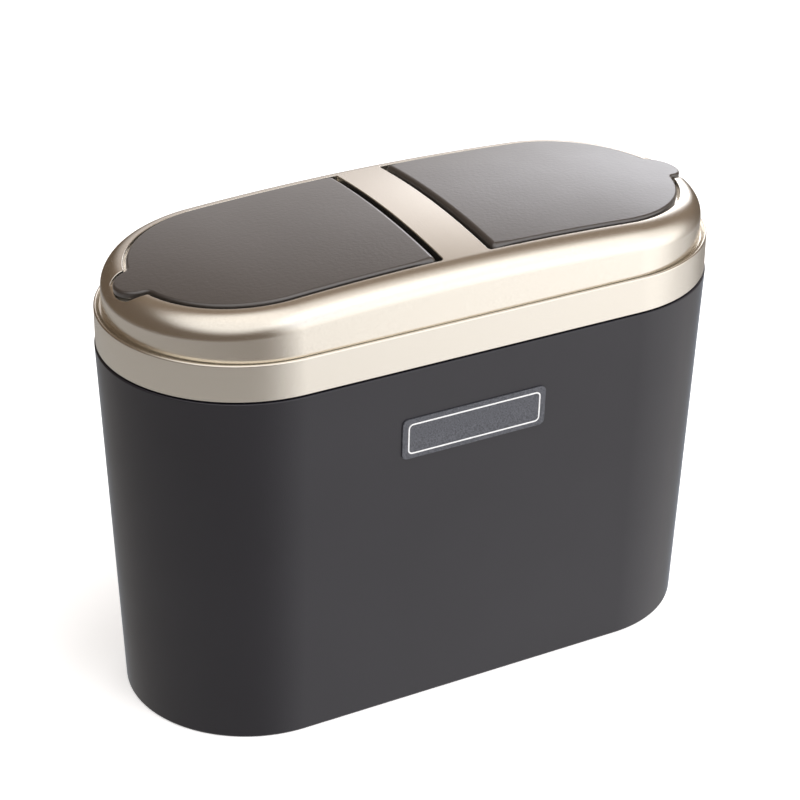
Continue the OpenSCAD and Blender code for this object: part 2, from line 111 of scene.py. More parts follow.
# Crown and shoulder of the cover
CROWN_Z = node_box("top_cover")[1][2]
CROWN_RX = 965.0
CROWN_RY = 327.0
COVER_OVERRUN = 0.4
COVER_INSET = 2.4
COVER_STRAIGHT = END_C + COVER_OVERRUN
COVER_S = RIM_S - COVER_INSET
COVER_WALL = 2.2
COVER_GAP = 0.5
SHOULDER_R = 7.4
LEAN = COVER_STRAIGHT / CROWN_RX
ARC_S = COVER_S - SHOULDER_R
ARC_H = math.sqrt((CROWN_RY - SHOULDER_R) ** 2 - ARC_S ** 2) - CROWN_RY
CROWN_S = ARC_S * CROWN_RY / (CROWN_RY - SHOULDER_R)
GROOVE_H = RING_TOP - CROWN_Z
GROOVE_S = COVER_S + (ARC_H - GROOVE_H) * math.tan(LEAN)
GROOVE_C = (CROWN_RX * math.sin(LEAN) + GROOVE_S * math.cos(LEAN)
            + (GROOVE_H + CROWN_RX * (1 - math.cos(LEAN))) * math.sin(LEAN)) - GROOVE_S

# Degrees from the shoulder's top at which the cover's sheet ends and the wall's next rings lie
SHEET_ANGLE = 75.0
SHEET_INNER_ANGLE = 60.0
SHOULDER_ANGLES = (79.0, 83.0)
SHOULDER_INNER_ANGLES = (70.0, 80.0)
SHOULDER_INNER_R = SHOULDER_R - COVER_WALL
SHEET_S = ARC_S + SHOULDER_R * math.sin(math.radians(SHEET_ANGLE))
SHEET_INNER_S = ARC_S + SHOULDER_INNER_R * math.sin(math.radians(SHEET_INNER_ANGLE))

# Recess, mouth, notch and bridge of the cover, for its right half
RECESS_RIM = 7.1
RECESS_R = COVER_S - RECESS_RIM
RECESS_CORNER_R = 1.2
RECESS_EDGE_R = 0.28
REST_W = 3.7
REST_DEPTH = 2.0
MOUTH_R = RECESS_R - REST_W
SHELL_DEPTH = 4.4
BRIDGE_X = 7.75
BAY_L = 11.0
BAY_INSET = 0.6
BAY_X = BRIDGE_X + BAY_L
BAY_S = RECESS_R - BAY_INSET
SKIRT_T = 2.2
SKIRT_LOW = -10.0
SKIRT_S = 38.8
POCKET_X = BRIDGE_X - SKIRT_T
NOTCH_R = 9.0
NOTCH_DEPTH = 4.9
NOTCH_RISE = 0.85
NOTCH_RISE_W = 5.4
NOTCH_CORNER_R = 0.8
NOTCH_BLEND = 0.3

# Flap and finger tab
FLAP_X = node_box("flap_right")[0][0]
FLAP_GAP = 1.0
FLAP_R = RECESS_R - FLAP_GAP
FLAP_T = 2.2
FLAP_PROUD = 0.5
FLAP_EDGE_R = 0.85
HINGE_EDGE_R = 1.7
HINGE_EDGE_BLEND = 6.0
FLAP_CORNER_R = 1.4
TAB_INSET = 0.9
TAB_D = FLAP_R - TAB_INSET
TAB_R = 7.5
TAB_T = 1.9
TAB_BLEND = 2.0
TAB_FILLET_R = 2.5
RIB_T = 1.4
RIB_H = 2.6
RIB_PITCH = 20.0
RIB_ROWS = (-RIB_PITCH, 0, RIB_PITCH)
RIB_ROOT = 1.0
RIB_X = BAY_X + RIB_ROOT
CROSS_RIB_S = 25.0
FLAP_SKIRT_GAP = 0.8
FLAP_SKIRT_R = MOUTH_R - FLAP_SKIRT_GAP
FLAP_SKIRT_H = 4.0

# Hinge: axis of the right pin, bore, knuckles with their webs, lugs and bosses
pin_low, pin_high = node_box("hinge_pin_right")
PIN_X, PIN_Z = (pin_low[0] + pin_high[0]) / 2, (pin_low[2] + pin_high[2]) / 2
BORE_FIT = 0.05
BORE_R = (pin_high[0] - pin_low[0]) / 2 + BORE_FIT
BORE_EDGE_R = 0.2
KNUCKLE_R = 2.1
KNUCKLE_L = 12.0
KNUCKLE_INSET = 0.5
KNUCKLE_END = FLAP_R - KNUCKLE_INSET
KNUCKLE_SPANS = [(y, y + KNUCKLE_L) for y in (-KNUCKLE_END, -KNUCKLE_L / 2, KNUCKLE_END - KNUCKLE_L)]
WEB_INSET = 0.5
WEB_OVER_BORE = 0.4
WEB_LOW_X = PIN_X - KNUCKLE_R + WEB_INSET
WEB_HIGH_X = PIN_X + KNUCKLE_R - WEB_INSET
BOSS_R = 1.35
BOSS_ROOT = 0.5
LUG_TOP = -1.8
LUG_GAP = 0.3
LUG_Y = FLAP_R + LUG_GAP
LUG_T = 3.9
LUG_HALF_W = 3.1
LUG_FOOT = 1.0
LUG_LOW = PIN_Z - KNUCKLE_R - LUG_FOOT

# Snap hooks under the cover
HOOK_W = 12.0
HOOK_PITCH = 46.0
HOOK_FIT = 0.25
HOOK_OUT = RING_INNER_IN - HOOK_FIT
HOOK_T = 1.4
HOOK_ROOT_H = 7.0
HOOK_NOSE = 0.8
HOOK_NOSE_Z = RING_INNER_LOW - HOOK_FIT

# Badge on the drafted front wall, and its raised border line
badge_low, badge_high = node_box("badge_plate")
BADGE_W = badge_high[0] - badge_low[0]
BADGE_H = 13.8
BADGE_T = 0.5
BADGE_Z = 97.9
BADGE_CORNER_R = 1.9
BADGE_EDGE_R = 0.18
BADGE_CORE_R = 0.2
BADGE_X = -1.1
BORDER_INSET_X = 1.9
BORDER_INSET_Y = 1.6
BORDER_CORNER_R = 1.7
BORDER_W = 0.5
BORDER_T = 0.12
BORDER_EDGE_R = 0.08
BORDER_ROOT = 0.2
FRONT_TILT = math.atan(BODY_TAPER / BODY_HEIGHT)
BADGE_S = BASE_S + BODY_TAPER * BADGE_Z / BODY_HEIGHT

# Studio round the object as gloss shows it: a dim warm room, and lights that are full within one angle
# in degrees from their direction and gone beyond another
ROOM_COLOUR = (0.11, 0.078, 0.053)
STUDIO_LIGHTS = {
    "ground": dict(axis=(0, 0, -1), full=61, gone=73, colour=(0.31, 0.325, 0.335)),
    "bright_ground": dict(axis=(0.72, -0.54, -0.45), full=12, gone=58, colour=(0.47, 0.465, 0.47)),
    "front_box": dict(axis=(0.66, -0.72, 0.27), full=22, gone=52, colour=(0.88, 0.88, 0.87)),
    "overhead_box": dict(axis=(-0.25, -0.4, 0.88), full=26, gone=56, colour=(0.92, 0.92, 0.92)),
    "warm_ceiling": dict(axis=(0.5, 0.2, 0.84), full=25, gone=75, colour=(0.1, 0.075, 0.055)),
    "cool_window": dict(axis=(0.5, -0.8, 0.32), full=8, gone=30, colour=(0.12, 0.16, 0.25)),
    "back_wall": dict(axis=(0.5, 0.82, 0.27), full=5, gone=30, colour=(0.58, 0.57, 0.585)),
    "back_panel": dict(axis=(0.67, 0.7, 0.28), full=3, gone=18, colour=(1.75, 1.8, 1.93)),
}

# Faces that meet at more than this angle keep a sharp edge
SHARP_ANGLE = 32.0

# Points of the cover's net in plan: rings on the shoulder, rows over the bridge and on the ledges
SHOULDER_RINGS = 14
ROW_INSET = 1.0
ROW_STEP = 2.0
ROW_POINTS = 25
LEDGE_POINTS = 10

# Flap's net: its loose points, its margin, and half the angle of the line at the tab's root
NET_START = 3.0
NET_REACH = 29.0
NET_HALF_W = 32.0
NET_COLUMNS, NET_ROWS = 20, 17
NET_INSET = 2.0
NET_MARGIN = 4.0
TAB_ROOT_ANGLE = 20

# Points on the straight sides of an outline, and steps in degrees on its fillets and corners
SIDE_POINTS = 16
HINGE_SIDE_POINTS = 10
FILLET_STEP = 8.0
CORNER_STEP = 12.0

# Points that agree to these digits of a millimetre are joined, and points closer than this share a corner
JOIN_DIGITS = 3
SAME_POINT = 1e-5

# Where a tint's two colours begin on its noise
DARK_SHARE, LIGHT_SHARE = 0.3, 0.7

# Half the floor's side and the camera's range, in metres
FLOOR_HALF = 4.0
CLIP_START, CLIP_END = 0.01, 50.0


class Shell:
    """Faces of one piece in millimetres, with a normal at each corner where the form gives it."""

    def __init__(self):
        self.points, self.normals, self.faces = [], [], []
        self.count = 0

    def add(self, points, faces, normals=None):
        """Adds faces over points; where normals are given, each face is turned to their side."""
        if normals is None:
            normals = np.full((len(points), 3), np.nan)
        for face in faces:
            face = list(face)
            if not np.isnan(normals[face[0]][0]):
                first, second, middle, last = (points[face[k]] for k in (0, 1, len(face) // 2, -1))
                facing = np.cross(middle - first, last - second)
                if facing @ normals[face].sum(axis=0) < 0:
                    face.reverse()
            self.faces.append([self.count + corner for corner in face])
        self.points.append(points)
        self.normals.append(normals)
        self.count += len(points)

    def grid(self, rows):
        """Adds the faces between rings of points, each given with its normals."""
        width = len(rows[0][0])
        faces = []
        for row in range(len(rows) - 1):
            for k in range(width):
                a, b = row * width + k, row * width + (k + 1) % width
                faces.append((a, b, b + width, a + width))
        self.add(np.concatenate([row[0] for row in rows]), faces, np.concatenate([row[1] for row in rows]))

    def cap(self, row, normal):
        """Closes a ring of points with one face."""
        self.add(row[0], [range(len(row[0]))], np.broadcast_to(normal, row[0].shape).copy())

    def build(self, name, mirrored=False):
        """The mesh object, with points that coincide joined and all normals set."""
        points = np.concatenate(self.points)
        normals = np.concatenate(self.normals)
        if mirrored:
            points, normals = points * (-1, 1, 1), normals * (-1, 1, 1)
        joined = np.round(points, JOIN_DIGITS)
        _, first, ids = np.unique(joined, axis=0, return_index=True, return_inverse=True)
        ids = ids.reshape(-1)
        faces, corners = [], []
        for face in self.faces:
            ring = [corner for k, corner in enumerate(face) if ids[corner] != ids[face[k - 1]]]
            if len(set(ids[ring])) == len(ring) > 2:
                if mirrored:
                    ring.reverse()
                faces.append(ring)
                corners.extend(ring)
        used, places = np.unique(ids[corners], return_inverse=True)
        places = iter(places.reshape(-1).tolist())
        mesh = bpy.data.meshes.new(name)
        mesh.from_pydata((points[first[used]] * MM).tolist(), [], [[next(places) for _ in f] for f in faces])
        mesh.set_sharp_from_angle(angle=math.radians(SHARP_ANGLE))
        found = np.empty(len(mesh.loops) * 3)
        mesh.corner_normals.foreach_get("vector", found)
        given = normals[corners]
        chosen = np.where(np.isnan(given), found.reshape(-1, 3), given)
        mesh.normals_split_custom_set(chosen.tolist())
        piece = bpy.data.objects.new(name, mesh)
        bpy.context.scene.collection.objects.link(piece)
        return piece


def level(u, v, h):
    """Places plan points and heights as they are, with the axes along, across and up."""
    axes = np.broadcast_to(np.eye(3), (len(u), 3, 3))
    return np.stack([u, v, h + 0 * u], -1), axes


def crowned(u, v, h):
    """Places points of the crown's sheet, u along it and h over it; past the straight part it is level."""
    near = np.clip(u, -COVER_STRAIGHT, COVER_STRAIGHT)
    turn = near / CROWN_RX
    zero = 0 * turn
    along = np.stack([np.cos(turn), zero, -np.sin(turn)], -1)
    across = np.stack([zero, zero + 1, zero], -1)
    up = np.stack([np.sin(turn), zero, np.cos(turn)], -1)
    points = up * (CROWN_RX + h)[:, None] + along * (u - near)[:, None] + across * v[:, None]
    points[:, 2] += CROWN_Z - CROWN_RX
    return points, np.stack([along, across, up], 1)


def about_pin(u, v, h):
    """Places points round the axis of the right pin, h along it."""
    axes = np.broadcast_to(np.eye(3)[[0, 2, 1]], (len(u), 3, 3))
    return np.stack([PIN_X + u, h + 0 * u, PIN_Z + v], -1), axes


def on_badge(u, v, h):
    """Places points on the front wall about the badge's middle, h out of the wall."""
    axes = np.array([
        (1, 0, 0),
        (0, -math.sin(FRONT_TILT), math.cos(FRONT_TILT)),
        (0, -math.cos(FRONT_TILT), -math.sin(FRONT_TILT)),
    ])
    middle = np.array([BADGE_X, -BADGE_S, BADGE_Z])
    points = middle + np.stack([u, v, h + 0 * u], -1) @ axes
    return points, np.broadcast_to(axes, (len(u), 3, 3))


def rim_path(arc_steps, long_steps=1, short_steps=0):
    """Anchor fractions and directions round a rounded rectangle; with no short side it is a stadium."""
    rows = []
    anchors = ((1, -1), (1, 1), (-1, 1), (-1, -1))
    for k, (f, g) in enumerate(anchors):
        start = 1 if k % 2 and not short_steps else 0
        for step in range(start, arc_steps + 1):
            turn = math.radians(90 * (k - 1 + step / arc_steps))
            rows.append((f, g, math.cos(turn), math.sin(turn)))
        after = anchors[(k + 1) % 4]
        steps = long_steps if k % 2 else short_steps
        for step in range(1, steps):
            share = step / steps
            turn = math.radians(90 * k)
            f_here, g_here = f + (after[0] - f) * share, g + (after[1] - g) * share
            rows.append((f_here, g_here, math.cos(turn), math.sin(turn)))
    return np.array(rows).T


BODY_PATH = rim_path(arc_steps=40, long_steps=24)
COVER_PATH = rim_path(arc_steps=36, long_steps=40)
PIN_PATH = rim_path(arc_steps=8)
BADGE_PATH = rim_path(arc_steps=8, long_steps=12, short_steps=4)


def rounded(corners, closed=True, step=15.0):
    """Runs of samples (anchor, s, h, normal) along a section with rounded corners.

    A corner without a radius stays sharp and ends the run.
    """
    runs, run = [], []
    count = len(corners)
    for k, (anchor, s, h, radius) in enumerate(corners):
        here = np.array((s, h))
        inward = here - np.array(corners[k - 1][1:3])
        outward = np.array(corners[(k + 1) % count][1:3]) - here
        if not closed and k == 0:
            inward = outward
        if not closed and k == count - 1:
            outward = inward
        inward, outward = inward / np.linalg.norm(inward), outward / np.linalg.norm(outward)
        before = np.array((inward[1], -inward[0]))
        after = np.array((outward[1], -outward[0]))
        turn = math.atan2(inward[0] * outward[1] - inward[1] * outward[0], inward @ outward)
        if radius == 0:
            run.append((anchor, s, h, *before))
            runs.append(run)
            run = [(anchor, s, h, *after)]
            continue
        side = math.copysign(1, turn)
        centre = here - inward * radius * math.tan(abs(turn) / 2) - before * radius * side
        steps = max(2, math.ceil(math.degrees(abs(turn)) / step))
        for sample in range(steps + 1):
            angle = turn * sample / steps
            normal = np.array((
                before[0] * math.cos(angle) - before[1] * math.sin(angle),
                before[0] * math.sin(angle) + before[1] * math.cos(angle),
            ))
            run.append((anchor, *(centre + normal * radius * side), *normal))
    if closed:
        run = run + runs.pop(0) if runs else run + run[:1]
        runs.append(run)
    return [run for run in runs if len(run) > 1]


def carried(sample, path, place, anchor_v=0.0):
    """The ring of points, with normals, that a sample of a section makes round a path."""
    anchor, s, h, out, up = sample
    f, g, dx, dy = path
    points, axes = place(f * anchor + dx * s, g * anchor_v + dy * s, h + 0 * f)
    sideways = dx[:, None] * axes[:, 0] + dy[:, None] * axes[:, 1]
    return points, out * sideways + up * axes[:, 2]


def sweep(shell, path, runs, place, anchor_v=0.0):
    """Carries the runs of a section round a path, and returns its first and last rings."""
    rings = []
    for run in runs:
        rows = [carried(sample, path, place, anchor_v) for sample in run]
        shell.grid(rows)
        rings += [rows[0], rows[-1]]
    return rings[0], rings[-1]


def prism(shell, outline, origin, first, second, length):
    """Adds a solid with a flat outline in two directions, extruded to the third by a length."""
    outline = np.array(outline)
    third = np.cross(first, second)
    low = np.array(origin) + outline[:, :1] * first + outline[:, 1:] * second
    points = np.concatenate([low, low + third * length])
    count = len(outline)
    faces = [list(range(count))[::-1], list(range(count, 2 * count))]
    for k in range(count):
        after = (k + 1) % count
        faces.append([k, after, count + after, count + k])
    shell.add(points, faces)


def arc(centre, radius, start, stop, outward=1, step=2.5):
    """Points on an arc in plan between two angles in degrees, with their normals."""
    steps = max(3, math.ceil(abs(stop - start) / step))
    turns = np.radians(np.linspace(start, stop, steps + 1))
    normals = np.stack([np.cos(turns), np.sin(turns)], -1)
    return np.array(centre) + radius * normals, normals * outward


def meeting(distance, radius_a, radius_b):
    """Angle in degrees, seen from the first of two circles a distance apart, at which they cross."""
    cosine = (radius_a ** 2 + distance ** 2 - radius_b ** 2) / (2 * radius_a * distance)
    return math.degrees(math.acos(cosine))


def lobed_outline(x0, corner_r, end_r, lobe_r, fillet_r):
    """Outline of a recess or a flap with its round end and lobe, counterclockwise, with outward normals."""
    spread = meeting(TAB_D, end_r + fillet_r, lobe_r + fillet_r)
    turned = meeting(TAB_D, lobe_r + fillet_r, end_r + fillet_r)
    angle = math.radians(spread)
    fillet = np.array((END_C, 0)) + (end_r + fillet_r) * np.array((math.cos(angle), math.sin(angle)))
    side = np.linspace(x0 + corner_r, END_C, SIDE_POINTS)[1:-1]
    upper = [
        arc((END_C + TAB_D, 0), lobe_r, 0, 180 - turned),
        arc(fillet, fillet_r, -turned, spread - 180, outward=-1, step=FILLET_STEP),
        arc((END_C, 0), end_r, spread, 90),
        (np.stack([side[::-1], 0 * side + end_r], -1), np.tile((0.0, 1.0), (len(side), 1))),
        arc((x0 + corner_r, end_r - corner_r), corner_r, 90, 180, step=CORNER_STEP),
    ]
    edge = np.linspace(0, end_r - corner_r, HINGE_SIDE_POINTS)[::-1][1:]
    upper.append((np.stack([0 * edge + x0, edge], -1), np.tile((-1.0, 0.0), (len(edge), 1))))
    points, normals = (np.concatenate([part[k] for part in upper]) for k in (0, 1))
    keep = np.r_[True, np.linalg.norm(np.diff(points, axis=0), axis=1) > TINY]
    points, normals = points[keep], normals[keep]
    below = slice(-2, 0, -1)
    flip = np.array((1, -1))
    return np.concatenate([points, points[below] * flip]), np.concatenate([normals, normals[below] * flip])


def nearest(outline, normals, u, v):
    """For each point, its distance to an outline, the outline's nearest point and its normal there."""
    here = np.stack([u, v], -1)
    start, way = outline, np.roll(outline, -1, axis=0) - outline
    share = np.einsum("pkd,kd->pk", here[:, None] - start, way) / (way ** 2).sum(-1)
    share = np.clip(share, 0, 1)
    gap = np.linalg.norm(here[:, None] - start - share[..., None] * way, axis=-1)
    best = gap.argmin(axis=1)
    part = share[np.arange(len(best)), best][:, None]
    blend = normals[best] * (1 - part) + np.roll(normals, -1, axis=0)[best] * part
    blend /= np.linalg.norm(blend, axis=1, keepdims=True)
    return gap.min(axis=1), start[best] + part * way[best], blend


def inside(outline, u, v):
    """Whether each point lies inside a closed outline."""
    x0, y0 = outline.T
    x1, y1 = np.roll(outline, -1, axis=0).T
    u, v = u[:, None], v[:, None]
    spans = (y0 > v) != (y1 > v)
    rise = np.where(y1 == y0, 1, y1 - y0)
    return (spans & (u < x0 + (v - y0) * (x1 - x0) / rise)).sum(axis=1) % 2 == 1


def split_long(loop, longest=3.2):
    """A closed loop with points added along its long edges, so that they can follow the crown."""
    parts = []
    for start, stop in zip(loop, np.roll(loop, -1, axis=0)):
        steps = max(1, math.ceil(np.linalg.norm(stop - start) / longest))
        parts.append(start + (stop - start) * np.arange(steps)[:, None] / steps)
    return np.concatenate(parts)


def triangulate(loops, loose):
    """Triangles of the plane that keep the closed loops as edges and use the loose points."""
    points, edges = [], []
    for loop in map(split_long, loops):
        base, count = len(points), len(loop)
        points += [tuple(p) for p in loop]
        edges += [(base + k, base + (k + 1) % count) for k in range(count)]
    points += [tuple(p) for p in loose]
    found = delaunay_2d_cdt([Vector(p) for p in points], edges, [], 0, SAME_POINT)
    corners = [points[given[0]] if given else p[:] for p, given in zip(found[0], found[3])]
    return np.array(corners), np.array(found[2])


# Regions of a net without a sheet: an opening with walls round it, and all beyond the piece
OPEN, OUTSIDE = "open", "outside"


def layered(shell, corners, triangles, region, sheets, top_normals):
    """Adds the solid between the top and the low sheet of each region, with walls where regions meet.

    A sheet is a height over each corner, and the low one is None where a region has none.
    """
    u, v = corners.T
    for name, (top, low) in sheets.items():
        own = triangles[region == name]
        points, axes = crowned(u, v, top)
        normals = None
        if name in top_normals:
            normals = np.einsum("pk,pkd->pd", top_normals[name], axes)
        shell.add(points, own, normals)
        if low is not None:
            shell.add(crowned(u, v, low)[0], own[:, ::-1])

    sides = {}
    for number, triangle in enumerate(triangles.tolist()):
        for k in range(3):
            sides.setdefault(frozenset((triangle[k], triangle[k - 1])), []).append((number, k))

    walls, levels = [], {}

    def wall(edge, upper, lower):
        walls.append((*edge, upper, lower))
        for corner in edge:
            levels.setdefault(corner, set()).update((upper[corner], lower[corner]))

    for pair in sides.values():
        names = [region[number] for number, _ in pair]
        if len(pair) == 1 or names[0] == names[1] or OUTSIDE in names:
            continue
        for (number, k), name, other in zip(pair, names, names[::-1]):
            if name == OPEN:
                continue
            edge = triangles[number][[k - 1, k]]
            top, low = sheets[name]
            if other == OPEN:
                wall(edge, top, low)
                continue
            other_top, other_low = sheets[other]
            if top[edge].sum() > other_top[edge].sum() + TINY:
                wall(edge, top, other_top)
            if low is None or other_low is None:
                continue
            if low[edge].sum() < other_low[edge].sum() - TINY:
                wall(edge, other_low, low)

    for a, b, upper, lower in walls:
        rising = sorted(h for h in levels[b] if lower[b] <= h <= upper[b])
        falling = sorted((h for h in levels[a] if lower[a] <= h <= upper[a]), reverse=True)
        ring = [b] * len(rising) + [a] * len(falling)
        shell.add(crowned(u[ring], v[ring], np.array(rising + falling))[0], [range(len(ring))])


def spine(u, v):
    """Distance of plan points from the crown's straight spine, and their directions from it."""
    beyond = u - np.clip(u, -COVER_STRAIGHT, COVER_STRAIGHT)
    s = np.hypot(beyond, v)
    safe = np.maximum(s, TINY)
    return s, np.stack([beyond / safe, v / safe], -1)


def arch(s, radius):
    """Height of a round arch across the bin, of a radius about the crown's own centre."""
    return np.sqrt(radius ** 2 - s ** 2) - CROWN_RY


def cover_skin(s):
    """Height of the cover's outer skin and its normal (outwards, up) at a distance from the spine."""
    over = np.clip((s - ARC_S) / SHOULDER_R, 0, 1)
    shoulder = ARC_H + SHOULDER_R * np.sqrt(1 - over ** 2)
    height = np.where(s < CROWN_S, arch(np.minimum(s, CROWN_S), CROWN_RY), shoulder)
    out = np.where(s < CROWN_S, s / CROWN_RY, over)
    return height, np.stack([out, np.sqrt(1 - out ** 2)], -1)


def rounded_top(height, slope, direction, gap, radius, edge_normal):
    """Top sheet near an edge that is rounded by a radius: its heights and normals."""
    lean = np.where(radius > TINY, np.clip(1 - gap / np.maximum(radius, TINY), 0, 1), 0)
    flat = np.sqrt(1 - lean ** 2)
    normals = np.stack([
        flat * slope[:, 0] * direction[:, 0] + lean * edge_normal[:, 0],
        flat * slope[:, 0] * direction[:, 1] + lean * edge_normal[:, 1],
        flat * slope[:, 1] + TINY,
    ], -1)
    normals /= np.linalg.norm(normals, axis=1, keepdims=True)
    return height - radius * (1 - flat), normals


# Shares of an edge's radius at which its rounding has points
EDGE_SHARES = [1 - math.sin(math.radians(angle)) for angle in (90, 75, 60, 45, 30, 15, 0)]


def notch_floor(v):
    """Height of the notch's floor, which is dished across the tab."""
    return NOTCH_RISE * np.clip(v / NOTCH_RISE_W, -1, 1) ** 2 - NOTCH_DEPTH


def notch_wall(u, v):
    """How high the wall of the recess or the notch stands over the notch's floor at points in plan."""
    return cover_skin(spine(u, v)[0])[0] - notch_floor(v)


def mouth_outline():
    """Outline of the right mouth: a bay beside the bridge, and the round end."""
    return np.concatenate([
        [(BRIDGE_X, -BAY_S), (BAY_X, -BAY_S), (BAY_X, -MOUTH_R)],
        arc((END_C, 0), MOUTH_R, -90, 90)[0],
        [(BAY_X, MOUTH_R), (BAY_X, BAY_S), (BRIDGE_X, BAY_S)],
    ])


def cover_net(edge, edge_normals):
    """Corners and triangles of the cover in plan, with all lines at which its sheets change."""
    f, _, dx, dy = COVER_PATH
    first = math.degrees(math.asin((CROWN_S - ARC_S) / SHOULDER_R))
    angles = np.linspace(first, SHEET_ANGLE, SHOULDER_RINGS)
    rings = [ARC_S + SHOULDER_R * math.sin(math.radians(angle)) for angle in angles]
    loops = [np.stack([f * COVER_STRAIGHT + dx * s, dy * s], -1) for s in rings + [SHEET_INNER_S]]
    loops += [
        np.array([(x, -y), (x, y), (-x, y), (-x, -y)])
        for x, y in ((POCKET_X, RECESS_R), (BRIDGE_X - HAIR, SKIRT_S))
    ]
    edge_r = np.clip(notch_wall(*edge.T), 0, RECESS_EDGE_R)
    for side in (1, -1):
        flip = np.array((side, 1))
        loops += [(edge + edge_normals * (share * edge_r)[:, None]) * flip for share in EDGE_SHARES]
        loops += [mouth_outline() * flip]

    near_edges = (POCKET_X - ROW_INSET, BRIDGE_X - ROW_INSET)
    x_rows = (-near_edges[1], -near_edges[0], -ROW_STEP, 0.0, ROW_STEP, *near_edges)
    loose = [(x, y) for x in x_rows for y in np.linspace(-RECESS_R, RECESS_R, ROW_POINTS)]
    ledge_s = (MOUTH_R + RECESS_R) / 2
    ledge_x = np.linspace(BAY_X + ROW_STEP, END_C, LEDGE_POINTS)
    for side in (1, -1):
        loose += [(side * x, y * ledge_s) for x in ledge_x for y in (1, -1)]
        loose += [(side * x, y) for x, y in arc((END_C, 0), ledge_s, -90, 90, step=6.0)[0]]
        loose += [(side * x, y) for x, y in arc((END_C, 0), RECESS_R, -60, 60)[0]]
    return triangulate(loops, loose)


def cover_regions(corners, triangles, edge):
    """The name of the region of the cover in which each triangle lies."""
    u, v = corners[triangles].mean(axis=1).T
    s, _ = spine(u, v)
    along, across = np.abs(u), np.abs(v)
    in_edge = inside(edge, along, v)
    in_notch = in_edge & (np.hypot(along - END_C - TAB_D, v) < NOTCH_R)
    region = np.full(len(triangles), "skin", dtype=object)
    region[s > SHEET_INNER_S] = "rim"
    region[(along < BRIDGE_X) & (across < SKIRT_S)] = "skirt"
    region[(along < POCKET_X) & (across < SKIRT_S)] = "skin"
    region[(along < POCKET_X) & (across < RECESS_R)] = "pocket"
    region[in_edge] = "ledge"
    region[in_notch] = "notch"
    region[in_notch & (s > SHEET_INNER_S)] = "notch_rim"
    region[inside(mouth_outline(), along, v)] = OPEN
    region[s > SHEET_S] = OUTSIDE
    return region


def add_cover_sheets(shell):
    """The crowned part of the cover, with its recesses, mouths, finger notches and bridge."""
    edge, edge_normals = lobed_outline(BRIDGE_X, RECESS_CORNER_R, RECESS_R, NOTCH_R, NOTCH_CORNER_R)
    corners, triangles = cover_net(edge, edge_normals)
    u, v = corners.T
    s, direction = spine(u, v)
    height, slope = cover_skin(s)
    gap, foot, normal = nearest(edge, edge_normals, np.abs(u), v)
    radius = np.clip(notch_wall(*foot.T), 0, RECESS_EDGE_R)
    normal = -normal * np.stack([np.sign(u), 0 * u + 1], -1)
    skin, skin_normals = rounded_top(height, slope, direction, gap, radius, normal)
    floor_height = notch_floor(v)
    blend = np.clip(NOTCH_BLEND - np.abs(height - floor_height), 0, None)
    notch = np.minimum(height, floor_height) - blend ** 2 / (4 * NOTCH_BLEND)
    low = arch(s, CROWN_RY - SHELL_DEPTH)
    sheets = {
        "skin": (skin, low),
        "rim": (skin, None),
        "ledge": (arch(s, CROWN_RY - REST_DEPTH), low),
        "notch": (notch, low),
        "notch_rim": (notch, None),
        "pocket": (skin, arch(s, CROWN_RY - COVER_WALL)),
        "skirt": (skin, 0 * s + SKIRT_LOW),
    }
    smooth = dict.fromkeys(("skin", "rim", "pocket", "skirt"), skin_normals)
    layered(shell, corners, triangles, cover_regions(corners, triangles, edge), sheets, smooth)


def cover_wall_rings(radius, angles, inward):
    """Rings down the shoulder to the level foot of the wall, outside or inside the shell."""
    rows = []
    for angle in map(math.radians, angles):
        out, up = math.sin(angle), math.cos(angle)
        sample = (COVER_STRAIGHT, ARC_S + radius * out, ARC_H + radius * up, inward * out, inward * up)
        rows.append(carried(sample, COVER_PATH, crowned))

    f, _, dx, _ = COVER_PATH
    out, up, lean = math.cos(LEAN), math.sin(LEAN), math.tan(LEAN)
    tilt = f * LEAN
    base = CROWN_Z - CROWN_RX * (1 - np.cos(tilt))
    slip = np.abs(np.sin(tilt)) * np.abs(dx * (np.abs(f) > 1 - TINY))
    reach = ARC_S + radius * out + (ARC_H + radius * up) * lean
    h = (LEDGE_Z - base + slip * reach) / (np.cos(tilt) + slip * lean)
    foot = (COVER_STRAIGHT, reach - h * lean, h, inward * out, inward * up)
    return rows + [carried(foot, COVER_PATH, crowned)]


def add_cover_wall(shell):
    """The rest of the shoulder and the wall under it, outside, inside and at its foot."""
    upright = 90 - math.degrees(LEAN)
    outer = cover_wall_rings(SHOULDER_R, (SHEET_ANGLE, *SHOULDER_ANGLES, upright), 1)
    inner = cover_wall_rings(SHOULDER_INNER_R, (SHEET_INNER_ANGLE, *SHOULDER_INNER_ANGLES, upright), -1)
    low = arch(SHEET_INNER_S, CROWN_RY - SHELL_DEPTH)
    low_points, _ = carried((COVER_STRAIGHT, SHEET_INNER_S, low, 0, 0), COVER_PATH, crowned)
    inner[0] = (low_points, inner[0][1])
    shell.grid(outer)
    shell.grid(inner)
    down = np.tile((0.0, 0.0, -1.0), (len(low_points), 1))
    shell.grid([(outer[-1][0], down), (inner[-1][0], down)])


